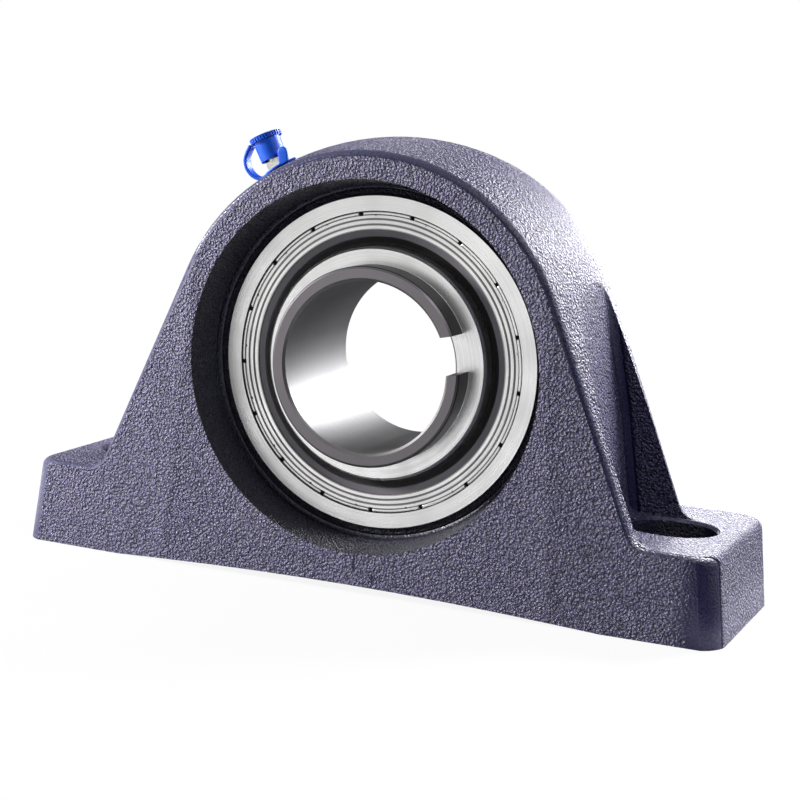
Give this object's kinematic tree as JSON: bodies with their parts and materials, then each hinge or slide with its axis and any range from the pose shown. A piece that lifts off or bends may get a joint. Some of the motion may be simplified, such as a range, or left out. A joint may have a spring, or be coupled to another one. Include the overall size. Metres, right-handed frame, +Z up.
{
  "type": "pillow block bearing",
  "caption": "Cast pillow block with slotted feet, a self-aligning ball bearing insert with a drive slot, and a capped grease nipple.",
  "frame": {"origin": "on the underside's plane, in the middle of the base", "axes": "+X along the base, +Y along the shaft from the front face with the drive slot to the rear, +Z up"},
  "size_m": [0.2416, 0.074, 0.1437],
  "materials": {
    "cast_paint": "dark blue-violet paint over rough sand-cast iron",
    "bearing_steel": "finely ground bearing steel",
    "shield_steel": "bright pressed sheet",
    "pressed_steel": "plain pressed sheet",
    "ball_steel": "polished",
    "seal_rubber": "matte dark grey",
    "nipple_steel": "pale zinc plate",
    "cap_plastic": "vivid blue moulded plastic"
  },
  "bodies": {
    "housing": {"housing": "cast_paint", "nipple_body": "nipple_steel", "nipple_spring": "nipple_steel", "cap_strap": "cap_plastic"},
    "insert": {"outer_ring": "bearing_steel", "front_outer_washer": "shield_steel", "front_inner_washer": "pressed_steel", "front_seal_lip": "seal_rubber", "rear_outer_washer": "shield_steel", "rear_inner_washer": "pressed_steel", "rear_seal_lip": "seal_rubber"},
    "inner_ring": {"inner_ring": "bearing_steel"},
    "cage": {"cage_half_front": "pressed_steel", "cage_half_rear": "pressed_steel", "cage_rivets": "pressed_steel", "ball_01": "ball_steel", "ball_02": "ball_steel", "ball_03": "ball_steel", "ball_04": "ball_steel", "ball_05": "ball_steel", "ball_06": "ball_steel", "ball_07": "ball_steel", "ball_08": "ball_steel", "ball_09": "ball_steel", "ball_10": "ball_steel"},
    "check_ball": {"nipple_ball": "ball_steel"},
    "dust_cap": {"dust_cap": "cap_plastic"}
  },
  "joints": [
    {"name": "align_tilt", "type": "hinge", "parent": "housing", "child": "insert", "pos_m": [0, -0.00875, 0.072], "axis": [1, 0, 0], "range_deg": [-2.5, 2.5]},
    {"name": "shaft_spin", "type": "hinge", "parent": "insert", "child": "inner_ring", "pos_m": [0, -0.00875, 0.072], "axis": [0, 1, 0], "continuous": true},
    {"name": "cage_spin", "type": "hinge", "parent": "insert", "child": "cage", "pos_m": [0, -0.00875, 0.072], "axis": [0, 1, 0], "continuous": true},
    {"name": "cap_pull", "type": "slide", "parent": "housing", "child": "dust_cap", "axis": [-0.4617, 0, 0.887], "range_m": [0, 0.009], "deforming": ["cap_strap"]},
    {"name": "check_ball_lift", "type": "slide", "parent": "housing", "child": "check_ball", "axis": [0.5664, 0, -0.8241], "range_m": [0, 0.001], "stiffness_N_per_m": 30, "springref_m": -0.003, "deforming": ["nipple_spring"]}
  ],
  "couplings": [
    {"joint": "cage_spin", "follows": "shaft_spin", "ratio": 0.40727}
  ]
}
